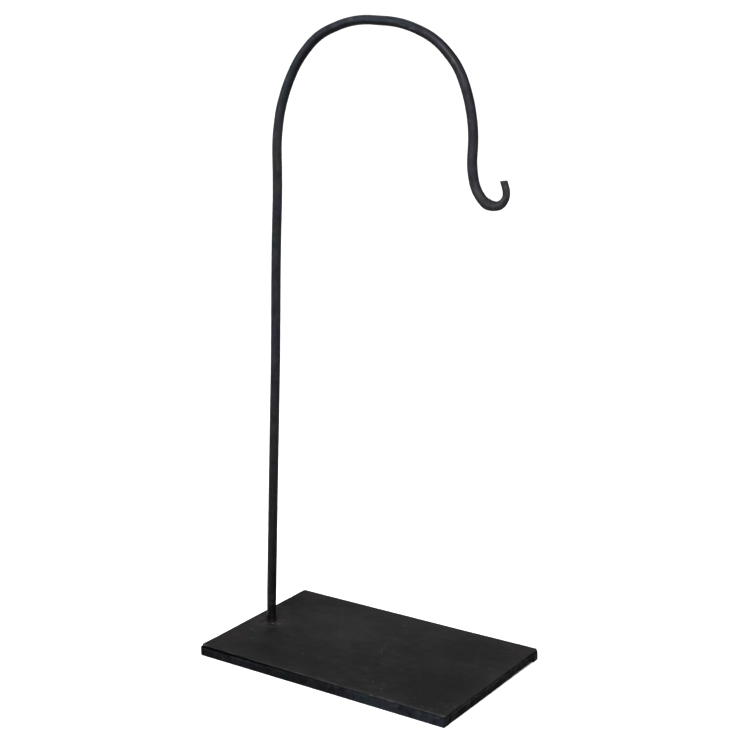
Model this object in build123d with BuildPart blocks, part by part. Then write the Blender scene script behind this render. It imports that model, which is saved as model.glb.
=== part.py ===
from build123d import *
import math
import os

os.makedirs("parts", exist_ok=True)

# A free-standing lantern stand: one bent round bar with a small hook at its
# end, welded upright near one short side of a low rectangular base.
# Millimetres. +Z up, origin on the table under the middle of the base,
# +X along the base towards the hook, the front long side at -Y.

# ---------------------------------------------------------------- dimensions
bar = 11.0            # square bar of the base frame
sheet_t = 1.2         # top sheet
sheet_inset = 0.3     # the sheet stops this far inside the bars' outer faces
sheet_corner_r = 2.5
bar_edge_r = 0.6      # worn long edges of the bars

# outer corners of the base in plan: hand-cut, 320 long, 201 wide at the
# post's end and 205.5 wide at the other
front_left = (-160.1, -100.4)
front_right = (160.1, -102.8)
back_left = (-160.6, 100.4)
back_right = (159.6, 102.8)
bar_overhang_left = 0.8   # the long bars stand out past the left bar
bar_overhang_right = 0.2  # and a little past the right bar

rod_d = 10.0          # round bar of the gooseneck
rod_y = 1.0           # its plane, a hair behind the middle of the base
rod_hole_d = 10.6     # hole in the sheet that the bar passes through

# centreline of the gooseneck in its upright plane (x, z): straight runs, and
# the radius of the bend that joins each two of them
rod_route = [
    (-137.15, 7.00),
    (-132.63, 174.83),
    (-128.00, 329.75),
    (-126.19, 449.14),
    (-123.44, 521.95),
    (-124.37, 571.54),
    (-119.20, 604.45),
    (-110.00, 630.75),
    (-95.58, 657.68),
    (-70.07, 684.90),
    (-24.69, 702.36),
    (34.48, 700.66),
    (74.32, 685.75),
    (100.85, 659.79),
    (113.72, 629.49),
    (120.14, 596.00),
    (118.52, 560.57),
    (123.29, 538.53),
    (129.65, 530.988752),
]
rod_bends = [
    3000.0, 3000.0, 2900.0, 805.0, 175.0, 141.0, 165.0, 107.0, 74.8,
    111.0, 117.0, 80.8, 75.7, 141.5, 132.0, 79.5, 21.0,
]

# the hook: the same bar goes on, drawn out thinner and curled up and outward
hook_route = [
    (129.65, 530.988752),
    (135.51, 524.04),
    (152.79, 523.99),
    (160.52, 535.97),
    (153.90, 553.87),
]
hook_bends = [15.6, 12.0, 13.0]
# along the hook, as a fraction of its length: thickness seen from the side,
# and width across
hook_sections = [
    (0.000, 10.0, 10.0),
    (0.120, 10.4, 10.0),
    (0.225, 11.0, 10.2),
    (0.330, 10.4, 10.2),
    (0.440, 9.1, 9.8),
    (0.540, 8.2, 9.0),
    (0.640, 7.4, 8.2),
    (0.760, 7.0, 7.6),
    (0.880, 6.9, 7.4),
    (1.000, 6.8, 7.3),
]
hook_stations = 26
tip_cut = (155.2, 549.6)   # the end is cut off nearly level
tip_cut_slope = 6.7        # degrees, up towards the outside

foot_weld_leg = 1.5        # low weld bead round the bar, on the sheet
under_weld_leg = 2.6       # and under it
corner_weld_leg = 4.0      # inside corners of the frame
tack_leg = 3.0             # short beads between sheet and bars, underneath
tack_len = 14.0


def hook_size(u):
    """thickness and width of the hook at a fraction u of its length"""
    for (u0, t0, w0), (u1, t1, w1) in zip(hook_sections, hook_sections[1:]):
        if u <= u1 + 1e-9:
            k = (u - u0) / (u1 - u0)
            return t0 + (t1 - t0) * k, w0 + (w1 - w0) * k


def on_front(x, inset=0.0):
    (x0, y0), (x1, y1) = front_left, front_right
    return (x, y0 + (x - x0) * (y1 - y0) / (x1 - x0) + inset)


def on_back(x, inset=0.0):
    (x0, y0), (x1, y1) = back_left, back_right
    return (x, y0 + (x - x0) * (y1 - y0) / (x1 - x0) - inset)


left_x = front_left[0] + 0.0
right_x = front_right[0] - bar_overhang_right
skew = back_left[0] - front_left[0]    # the back is shifted this far in X

# ---------------------------------------------------------------- the base
with BuildPart() as front_bar:
    with BuildSketch(Plane.XY):
        with BuildLine():
            Polyline(
                on_front(front_left[0] - bar_overhang_left),
                on_front(front_right[0]),
                on_front(front_right[0], bar),
                on_front(front_left[0] - bar_overhang_left, bar),
                close=True,
            )
        make_face()
    extrude(amount=bar)
    fillet(front_bar.edges().filter_by(lambda e: e.length > 100), radius=bar_edge_r)
front_bar.part.label = "front_bar"

with BuildPart() as back_bar:
    with BuildSketch(Plane.XY):
        with BuildLine():
            Polyline(
                on_back(back_left[0] - bar_overhang_left),
                on_back(back_right[0]),
                on_back(back_right[0], bar),
                on_back(back_left[0] - bar_overhang_left, bar),
                close=True,
            )
        make_face()
    extrude(amount=bar)
    fillet(back_bar.edges().filter_by(lambda e: e.length > 100), radius=bar_edge_r)
back_bar.part.label = "back_bar"

# the short bars butt between the long ones
with BuildPart() as left_bar:
    with BuildSketch(Plane.XY):
        with BuildLine():
            Polyline(
                on_front(left_x, bar),
                on_front(left_x + bar, bar),
                on_back(left_x + skew + bar, bar),
                on_back(left_x + skew, bar),
                close=True,
            )
        make_face()
    extrude(amount=bar)
    fillet(left_bar.edges().filter_by(lambda e: e.length > 100), radius=bar_edge_r)
left_bar.part.label = "left_bar"

with BuildPart() as right_bar:
    with BuildSketch(Plane.XY):
        with BuildLine():
            Polyline(
                on_front(right_x - bar, bar),
                on_front(right_x, bar),
                on_back(right_x + skew, bar),
                on_back(right_x + skew - bar, bar),
                close=True,
            )
        make_face()
    extrude(amount=bar)
    fillet(right_bar.edges().filter_by(lambda e: e.length > 100), radius=bar_edge_r)
right_bar.part.label = "right_bar"

# the sheet lies on the four bars
foot_x = rod_route[0][0] + (bar + sheet_t - rod_route[0][1]) * (
    (rod_route[1][0] - rod_route[0][0]) / (rod_route[1][1] - rod_route[0][1])
)
with BuildPart() as top_sheet:
    with BuildSketch(Plane.XY.offset(bar)):
        with BuildLine():
            Polyline(
                on_front(front_left[0] + sheet_inset, sheet_inset),
                on_front(front_right[0] - sheet_inset, sheet_inset),
                on_back(back_right[0] - sheet_inset, sheet_inset),
                on_back(back_left[0] + sheet_inset, sheet_inset),
                close=True,
            )
        make_face()
        fillet(vertices(), radius=sheet_corner_r)
        with Locations((foot_x, rod_y)):
            Circle(rod_hole_d / 2, mode=Mode.SUBTRACT)
    extrude(amount=sheet_t)
    chamfer(
        top_sheet.faces().sort_by(Axis.Z)[-1].outer_wire().edges(), length=0.25
    )
top_sheet.part.label = "top_sheet"

# ---------------------------------------------------------------- the gooseneck
with BuildPart() as gooseneck_rod:
    # the whole post and arch in one constant section
    with BuildLine() as rod_line:
        FilletPolyline(*[(x, rod_y, z) for x, z in rod_route], radius=rod_bends)
    with BuildSketch(
        Plane(origin=rod_line.line @ 0, x_dir=(0, 1, 0), z_dir=rod_line.line % 0)
    ):
        Circle(rod_d / 2)
    sweep()

    # the drawn-out hook: round where it leaves the arm, thicker where it was
    # upset at the bottom of the bend, and slim at the tip
    with BuildLine(mode=Mode.PRIVATE) as hook_line:
        FilletPolyline(*[(x, rod_y, z) for x, z in hook_route], radius=hook_bends)
    for i in range(hook_stations):
        u = i / (hook_stations - 1)
        thick, wide = hook_size(u)
        with BuildSketch(
            Plane(origin=hook_line.line @ u, x_dir=(0, 1, 0), z_dir=hook_line.line % u)
        ):
            Ellipse(wide / 2, thick / 2)
    loft()
    # the tip is cut off flat
    with BuildSketch(
        Plane(
            origin=(tip_cut[0], rod_y, tip_cut[1]),
            x_dir=(0, 1, 0),
            z_dir=(
                -math.sin(math.radians(tip_cut_slope)),
                0,
                math.cos(math.radians(tip_cut_slope)),
            ),
        )
    ):
        Rectangle(16, 16)
    extrude(amount=12, mode=Mode.SUBTRACT)
gooseneck_rod.part.label = "gooseneck_rod"

# ---------------------------------------------------------------- the welds
foot_dir = Vector(
    rod_route[1][0] - rod_route[0][0], 0, rod_route[1][1] - rod_route[0][1]
).normalized()
foot_at = Vector(foot_x, rod_y, bar + sheet_t)

with BuildPart() as foot_weld:
    # a low bead with a hollow face, round the bar where it leaves the sheet
    with BuildSketch(Plane(origin=foot_at, x_dir=(0, 1, 0), z_dir=(1, 0, 0))):
        with BuildLine():
            l1 = Line((rod_d / 2 - 0.8, -0.6), (rod_d / 2 - 0.8, foot_weld_leg))
            l2 = Line(l1 @ 1, (rod_d / 2 + 0.05, foot_weld_leg))
            l3 = ThreePointArc(
                l2 @ 1,
                (rod_d / 2 + 0.42 * foot_weld_leg, 0.42 * foot_weld_leg),
                (rod_d / 2 + foot_weld_leg, 0.12),
            )
            l4 = Line(l3 @ 1, (rod_d / 2 + foot_weld_leg, -0.6))
            Line(l4 @ 1, l1 @ 0)
        make_face()
    revolve(axis=Axis(foot_at, (0, 0, 1)))
    add(gooseneck_rod.part, mode=Mode.SUBTRACT)
    with BuildSketch(Plane.XY.offset(bar + sheet_t)):
        with Locations((foot_x, rod_y)):
            Rectangle(30, 30)
    extrude(amount=-5, mode=Mode.SUBTRACT)
foot_weld.part.label = "foot_weld"

with BuildPart() as under_weld:
    # the bead under the sheet
    with BuildSketch(
        Plane(origin=(foot_x, rod_y, bar), x_dir=(0, 1, 0), z_dir=(1, 0, 0))
    ):
        with BuildLine():
            l1 = Line((rod_d / 2 - 0.8, 0.6), (rod_d / 2 - 0.8, -under_weld_leg))
            l2 = Line(l1 @ 1, (rod_d / 2 + 0.3, -under_weld_leg))
            l3 = Line(l2 @ 1, (rod_d / 2 + under_weld_leg, -0.3))
            l4 = Line(l3 @ 1, (rod_d / 2 + under_weld_leg, 0.6))
            Line(l4 @ 1, l1 @ 0)
        make_face()
    revolve(axis=Axis((foot_x, rod_y, bar), (0, 0, 1)))
    add(gooseneck_rod.part, mode=Mode.SUBTRACT)
    with BuildSketch(Plane.XY.offset(bar)):
        with Locations((foot_x, rod_y)):
            Rectangle(30, 30)
    extrude(amount=5, mode=Mode.SUBTRACT)
under_weld.part.label = "under_weld"

# upright beads in the four inside corners of the frame
left_in = lambda y: left_x + bar + skew * (y - front_left[1]) / (back_left[1] - front_left[1])
right_in = lambda y: right_x - bar + skew * (y - front_right[1]) / (back_right[1] - front_right[1])
fl = on_front(left_x + bar, bar)
fr = on_front(right_x - bar, bar)
bl = on_back(left_x + skew + bar, bar)
br = on_back(right_x + skew - bar, bar)


def toward(a, b, d):
    n = math.hypot(b[0] - a[0], b[1] - a[1])
    return (a[0] + (b[0] - a[0]) * d / n, a[1] + (b[1] - a[1]) * d / n)


with BuildPart() as corner_welds:
    for at, along, across in ((fl, fr, bl), (fr, fl, br), (bl, br, fl), (br, bl, fr)):
        p = toward(at, along, corner_weld_leg)
        q = toward(at, across, corner_weld_leg)
        mid = ((p[0] + q[0]) / 2, (p[1] + q[1]) / 2)
        bulge = toward(mid, at, -0.6)
        with BuildSketch(Plane.XY.offset(1.5)):
            with BuildLine():
                Line(at, p)
                ThreePointArc(p, bulge, q)
                Line(q, at)
            make_face()
        extrude(amount=bar - 3.0)
corner_welds.part.label = "corner_welds"

# short beads that hold the sheet down on the bars, underneath
tacks = []
for x in (-95.0, 5.0, 105.0):
    tacks.append((on_front(x, bar), toward((0, 0), (front_right[0] - front_left[0], front_right[1] - front_left[1]), 1.0), 1))
    tacks.append((on_back(x, bar), toward((0, 0), (back_right[0] - back_left[0], back_right[1] - back_left[1]), 1.0), -1))
for t in (0.3, 0.7):
    a = (fl[0] + (bl[0] - fl[0]) * t, fl[1] + (bl[1] - fl[1]) * t)
    tacks.append((a, toward((0, 0), (bl[0] - fl[0], bl[1] - fl[1]), 1.0), -1))
    b = (fr[0] + (br[0] - fr[0]) * t, fr[1] + (br[1] - fr[1]) * t)
    tacks.append((b, toward((0, 0), (br[0] - fr[0], br[1] - fr[1]), 1.0), 1))

with BuildPart() as sheet_tacks:
    for at, run, side in tacks:
        inward = (-run[1] * side, run[0] * side, 0)
        with BuildSketch(
            Plane(origin=(at[0], at[1], bar), x_dir=inward, z_dir=(run[0], run[1], 0))
        ):
            # the plane's y is up or down, by the side the bar is on
            down = -1 if Plane(origin=(0, 0, 0), x_dir=inward, z_dir=(run[0], run[1], 0)).y_dir.Z > 0 else 1
            with BuildLine():
                Line((0, 0), (tack_leg, 0))
                ThreePointArc(
                    (tack_leg, 0),
                    (tack_leg * 0.56, down * tack_leg * 0.56),
                    (0, down * tack_leg),
                )
                Line((0, down * tack_leg), (0, 0))
            make_face()
        extrude(amount=tack_len / 2, both=True)
sheet_tacks.part.label = "sheet_tacks"

# ---------------------------------------------------------------- lengths
rod_len = sum(e.length for e in rod_line.line.edges())
hook_len = sum(e.length for e in hook_line.line.edges())
print("rod length", rod_len, "hook length", hook_len)
print("rod section x length", math.pi * rod_d ** 2 / 4 * rod_len)
print("gooseneck volume", gooseneck_rod.part.volume)

# ---------------------------------------------------------------- files
export_step(top_sheet.part, "parts/top_sheet.step")
export_step(front_bar.part, "parts/front_bar.step")
export_step(back_bar.part, "parts/back_bar.step")
export_step(left_bar.part, "parts/left_bar.step")
export_step(right_bar.part, "parts/right_bar.step")
export_step(gooseneck_rod.part, "parts/gooseneck_rod.step")
export_step(foot_weld.part, "parts/foot_weld.step")
export_step(under_weld.part, "parts/under_weld.step")
export_step(corner_welds.part, "parts/corner_welds.step")
export_step(sheet_tacks.part, "parts/sheet_tacks.step")
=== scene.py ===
import math

import bmesh
import bpy
import numpy as np
from mathutils import Matrix, Vector
from mathutils.geometry import delaunay_2d_cdt


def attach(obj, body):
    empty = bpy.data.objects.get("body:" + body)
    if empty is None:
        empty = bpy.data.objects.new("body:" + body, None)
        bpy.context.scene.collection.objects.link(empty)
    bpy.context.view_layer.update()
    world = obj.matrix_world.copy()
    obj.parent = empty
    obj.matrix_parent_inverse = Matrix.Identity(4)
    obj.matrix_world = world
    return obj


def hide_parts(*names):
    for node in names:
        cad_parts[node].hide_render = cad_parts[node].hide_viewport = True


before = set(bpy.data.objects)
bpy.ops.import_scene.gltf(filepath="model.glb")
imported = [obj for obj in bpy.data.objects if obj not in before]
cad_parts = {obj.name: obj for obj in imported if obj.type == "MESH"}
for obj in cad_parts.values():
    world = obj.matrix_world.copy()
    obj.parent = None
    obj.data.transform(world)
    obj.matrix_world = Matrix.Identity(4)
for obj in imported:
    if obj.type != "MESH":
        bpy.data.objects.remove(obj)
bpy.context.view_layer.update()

MM = 0.001

# ------------------------------------------------------------------ camera
# Fitted to the base's corners and to the bar's width along its length.
F_PX = 1656.187
CAM_AT = (946.200, -1442.274, 771.222)
YAW, PITCH, ROLL = 0.5779996, 0.2514419, 0.0080062

cy, sy, cp, sp = math.cos(YAW), math.sin(YAW), math.cos(PITCH), math.sin(PITCH)
fwd = Vector((-sy * cp, cy * cp, -sp))
right = Vector((cy, sy, 0.0))
up = right.cross(fwd)
cr, sr = math.cos(ROLL), math.sin(ROLL)
right, up = cr * right + sr * up, -sr * right + cr * up
cam_data = bpy.data.cameras.new("camera")
cam_data.sensor_fit = "HORIZONTAL"
cam_data.sensor_width = 36.0
cam_data.lens = F_PX / 750 * 36.0
cam_data.clip_start = 0.05
cam_data.clip_end = 200
cam = bpy.data.objects.new("camera", cam_data)
bpy.context.scene.collection.objects.link(cam)
m = Matrix.Identity(4)
for i in range(3):
    m[i][0], m[i][1], m[i][2] = right[i], up[i], -fwd[i]
    m[i][3] = CAM_AT[i] * MM
cam.matrix_world = m
bpy.context.scene.camera = cam


# ------------------------------------------------------------------ noise
def _hash(ix, iy, iz, seed):
    h = (
        ix.astype(np.int64) * 374761393
        + iy.astype(np.int64) * 668265263
        + iz.astype(np.int64) * 2147483647
        + seed * 974634777
    ) & 0xFFFFFFFF
    h = ((h ^ (h >> 13)) * 1274126177) & 0xFFFFFFFF
    h = ((h ^ (h >> 16)) * 2246822519) & 0xFFFFFFFF
    h = h ^ (h >> 15)
    return (h & 0xFFFFFF) / float(0xFFFFFF) * 2 - 1


def noise(p, scale, seed=0):
    """smooth value noise from -1 to 1 at points p (n, 3); scale is the size of a feature"""
    q = np.asarray(p, float) / scale
    i = np.floor(q).astype(np.int64)
    f = q - i
    f = f * f * f * (f * (f * 6 - 15) + 10)
    out = 0
    for dx in (0, 1):
        wx = f[:, 0] if dx else 1 - f[:, 0]
        for dy in (0, 1):
            wy = f[:, 1] if dy else 1 - f[:, 1]
            for dz in (0, 1):
                wz = f[:, 2] if dz else 1 - f[:, 2]
                out = out + wx * wy * wz * _hash(i[:, 0] + dx, i[:, 1] + dy, i[:, 2] + dz, seed)
    return out


def fbm(p, scale, seed=0, octaves=3, gain=0.5):
    out, amp, tot = 0, 1.0, 0.0
    for k in range(octaves):
        out = out + amp * noise(p, scale / 2 ** k, seed + 31 * k)
        tot += amp
        amp *= gain
    return out / tot


def smooth(a, b, x):
    t = np.clip((x - a) / (b - a), 0, 1)
    return t * t * (3 - 2 * t)


# ------------------------------------------------------------------ meshes
def make_mesh(name, verts_mm, faces, sharp=40.0, attrs=None):
    me = bpy.data.meshes.new(name)
    me.from_pydata([tuple(v) for v in np.asarray(verts_mm) * MM], [], faces)
    me.validate()
    me.update()
    bm = bmesh.new()
    bm.from_mesh(me)
    bmesh.ops.recalc_face_normals(bm, faces=bm.faces)
    bm.to_mesh(me)
    bm.free()
    me.polygons.foreach_set("use_smooth", [True] * len(me.polygons))
    me.set_sharp_from_angle(angle=math.radians(sharp))
    for key, val in (attrs or {}).items():
        val = np.asarray(val, dtype=np.float32)
        if val.ndim == 2:
            a = me.attributes.new(key, "FLOAT_VECTOR", "POINT")
            a.data.foreach_set("vector", val.ravel())
        else:
            a = me.attributes.new(key, "FLOAT", "POINT")
            a.data.foreach_set("value", val)
    o = bpy.data.objects.new(name, me)
    bpy.context.scene.collection.objects.link(o)
    return o


def piece(o, node, material):
    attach(o, "root")
    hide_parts(node)
    o.data.materials.clear()
    o.data.materials.append(material)
    return o


# ------------------------------------------------------------------ plan of the base (mm)
BAR, SHEET_T, INSET = 11.0, 1.2, 0.15
FL, FR = (-160.1, -100.4), (160.1, -102.8)
BL, BR = (-160.6, 100.4), (159.6, 102.8)
FOOT = (-137.01, 1.0)


def y_front(x):
    return FL[1] + (x - FL[0]) * (FR[1] - FL[1]) / (FR[0] - FL[0])


def y_back(x):
    return BL[1] + (x - BL[0]) * (BR[1] - BL[1]) / (BR[0] - BL[0])


def sheet_lift(x, y):
    """how far the sheet stands off the bars: it gapes a little at two opposite corners"""
    d = np.hypot((x - FL[0]) * 0.42, (y - FL[1]) * 1.15)
    e = np.hypot((x - BR[0]) * 0.75, (y - BR[1]) * 0.95)
    return 0.55 * (1 - smooth(0, 46, d)) + 0.50 * (1 - smooth(0, 95, e))


def sheet_top(x, y):
    """height of the sheet's upper face: flat, with the faint waves of thin plate"""
    p = np.c_[x, y, np.zeros_like(x)]
    z = BAR + SHEET_T + sheet_lift(x, y)
    z = z + 0.12 + 0.08 * fbm(p, 90, 5, 2) + 0.018 * fbm(p, 14, 9, 2)
    # a low ground-down mound of weld round the foot
    d = np.hypot(x - FOOT[0] - 3, (y - FOOT[1]) * 1.15)
    mound = (1 - smooth(4, 17 + 4 * noise(p, 12, 3), d)) * (0.42 + 0.22 * noise(p, 5, 8))
    return z + mound


# ------------------------------------------------------------------ the top sheet
def build_sheet():
    def corner(c, a, b, r, n=7):
        """points of a rounded corner c between neighbours a and b"""
        c, a, b = map(np.array, (c, a, b))
        ua, ub = (a - c) / np.linalg.norm(a - c), (b - c) / np.linalg.norm(b - c)
        half = math.acos(float(ua @ ub)) / 2
        t = r / math.tan(half)
        centre = c + (ua + ub) / np.linalg.norm(ua + ub) * (r / math.sin(half))
        p0, p1 = c + ua * t, c + ub * t
        a0 = math.atan2(*(p0 - centre)[::-1])
        a1 = math.atan2(*(p1 - centre)[::-1])
        da = (a1 - a0 + math.pi) % (2 * math.pi) - math.pi
        return [centre + r * np.array([math.cos(a0 + da * k / n), math.sin(a0 + da * k / n)]) for k in range(n + 1)]

    i = INSET
    c = [(FL[0] + i, FL[1] + i), (FR[0] - i, FR[1] + i), (BR[0] - i, BR[1] - i), (BL[0] + i, BL[1] - i)]
    radii = (4.2, 1.8, 2.6, 2.2)
    loop = []
    for k in range(4):
        arc = corner(c[k], c[k - 1], c[(k + 1) % 4], radii[k])
        if loop:
            prev = loop[-1]
            n = int(np.linalg.norm(arc[0] - prev) / 2.0)
            loop += [prev + (arc[0] - prev) * j / n for j in range(1, n)]
        loop += arc
    n = int(np.linalg.norm(loop[0] - loop[-1]) / 2.0)
    last = loop[-1]
    loop += [last + (loop[0] - last) * j / n for j in range(1, n)]
    loop = np.array(loop)
    # inward normals of the outline
    t = np.roll(loop, -1, 0) - np.roll(loop, 1, 0)
    t /= np.linalg.norm(t, axis=1)[:, None]
    inward = np.c_[-t[:, 1], t[:, 0]]
    p3 = np.c_[loop, np.zeros(len(loop))]
    # sheared and filed edge: a hair uneven
    loop = loop + inward * (0.10 * fbm(p3, 26, 21, 2) + 0.05 * noise(p3, 4, 22))[:, None]

    hole_n = 40
    hole = np.array([[FOOT[0] + 5.3 * math.cos(a), FOOT[1] + 5.3 * math.sin(a)] for a in np.linspace(0, 2 * math.pi, hole_n, endpoint=False)])
    inner = loop + inward * 0.34
    step = 2.0
    xs = np.arange(-160, 160.1, step)
    ys = np.arange(-102, 102.1, step)
    gx, gy = np.meshgrid(xs, ys)
    pts = np.c_[gx.ravel(), gy.ravel()]
    keep = (
        (pts[:, 1] > y_front(pts[:, 0]) + 2.2)
        & (pts[:, 1] < y_back(pts[:, 0]) - 2.2)
        & (pts[:, 0] > FL[0] + 3.0)
        & (pts[:, 0] < BR[0] - 2.2)
        & (np.hypot(pts[:, 0] - FOOT[0], pts[:, 1] - FOOT[1]) > 6.6)
    )
    for cx_, cy_, r_ in ((c[0][0], c[0][1], 6.0), (c[1][0], c[1][1], 3.4), (c[2][0], c[2][1], 3.8), (c[3][0], c[3][1], 3.6)):
        keep &= np.hypot(pts[:, 0] - cx_, pts[:, 1] - cy_) > r_
    pts = pts[keep]
    # finer points on the mound round the foot
    fx, fy = np.meshgrid(np.arange(-160, -110, 1.0), np.arange(-22, 24, 1.0))
    fine = np.c_[fx.ravel(), fy.ravel()]
    fine = fine[(np.hypot(fine[:, 0] - FOOT[0], fine[:, 1] - FOOT[1]) > 6.2) & (np.hypot(fine[:, 0] - FOOT[0], fine[:, 1] - FOOT[1]) < 21) & (fine[:, 0] > -157)]
    far = np.hypot(pts[:, 0] - FOOT[0], pts[:, 1] - FOOT[1]) > 21.5
    pts = np.vstack([pts[far], fine])
    jit = np.c_[noise(np.c_[pts, np.zeros(len(pts))], 0.7, 61), noise(np.c_[pts, np.zeros(len(pts))], 0.7, 62)]
    pts = pts + jit * 0.12
    nl = len(inner)
    coords = [Vector(p) for p in np.vstack([inner, hole, pts])]
    edges = [(k, (k + 1) % nl) for k in range(nl)] + [(nl + k, nl + (k + 1) % hole_n) for k in range(hole_n)]
    faces_in = [list(range(nl)), list(range(nl + hole_n - 1, nl - 1, -1))]
    vo, eo, fo, ov, oe, of_ = delaunay_2d_cdt(coords, edges, [], 0, 1e-6)
    vo = np.array([tuple(v) for v in vo])
    tris = []
    for f in fo:
        cc = vo[list(f)].mean(0)
        if np.hypot(cc[0] - FOOT[0], cc[1] - FOOT[1]) < 5.25:
            continue
        tris.append(list(f))
    # drop what lies outside the outline (its corners are rounded inward)
    from_loop = inner

    def inside(p):
        x, y = p
        a, b = from_loop, np.roll(from_loop, -1, 0)
        cond = (a[:, 1] > y) != (b[:, 1] > y)
        xi = (b[:, 0] - a[:, 0]) * (y - a[:, 1]) / (b[:, 1] - a[:, 1] + 1e-30) + a[:, 0]
        return (cond & (x < xi)).sum() % 2 == 1

    tris = [f for f in tris if (abs(vo[f].mean(0)[0]) < 150 and abs(vo[f].mean(0)[1]) < 95) or inside(vo[f].mean(0))]
    first = {}
    for new, olds in enumerate(ov):
        for q in olds:
            first[q] = new
    n2 = len(vo)
    ztop = sheet_top(vo[:, 0], vo[:, 1])
    zbot = BAR + sheet_lift(vo[:, 0], vo[:, 1]) + 0.0
    verts = [np.c_[vo, ztop], np.c_[vo, zbot]]
    faces = [tuple(f) for f in tris] + [tuple(n2 + q for q in reversed(f)) for f in tris]
    base = 2 * n2
    zt = sheet_top(loop[:, 0], loop[:, 1])
    zb = BAR + sheet_lift(loop[:, 0], loop[:, 1])
    worn = 0.05 * noise(p3, 3.0, 33) + 0.05
    rings = []
    for off, dz, top in ((0.13, -0.04, True), (0.02, -0.16, True), (0.0, -0.45, True), (0.0, 0.35, False), (0.10, 0.06, False)):
        xy = loop + inward * (off + worn * (1 if top else 0.4))[:, None]
        z = (zt + dz - worn * 0.5) if top else (zb + dz)
        rings.append(np.c_[xy, z])
    verts += rings
    idx_top = [first[k] for k in range(nl)]
    ring_ids = [[base + r * nl + k for k in range(nl)] for r in range(len(rings))]
    chain = [idx_top] + ring_ids + [[n2 + q for q in idx_top]]
    for a, b in zip(chain, chain[1:]):
        for k in range(nl):
            k2 = (k + 1) % nl
            faces.append((a[k], b[k], b[k2], a[k2]))
    # wall of the hole
    ht = [first[nl + k] for k in range(hole_n)]
    for k in range(hole_n):
        k2 = (k + 1) % hole_n
        faces.append((ht[k], ht[k2], n2 + ht[k2], n2 + ht[k]))
    V = np.vstack(verts)
    # how worn each point is (along the upper rim), and which points are on the cut side
    wear = np.zeros(len(V))
    wear[base:base + nl] = 1.0
    wear[base + nl:base + 2 * nl] = 0.8
    wear[np.array(idx_top)] = 0.7
    side = np.zeros(len(V))
    side[base + nl:base + 2 * nl] = 0.35
    side[base + 2 * nl:] = 1.0
    return make_mesh("top_sheet_plate", V, faces, sharp=55, attrs={"wear": wear, "side": side})


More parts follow.
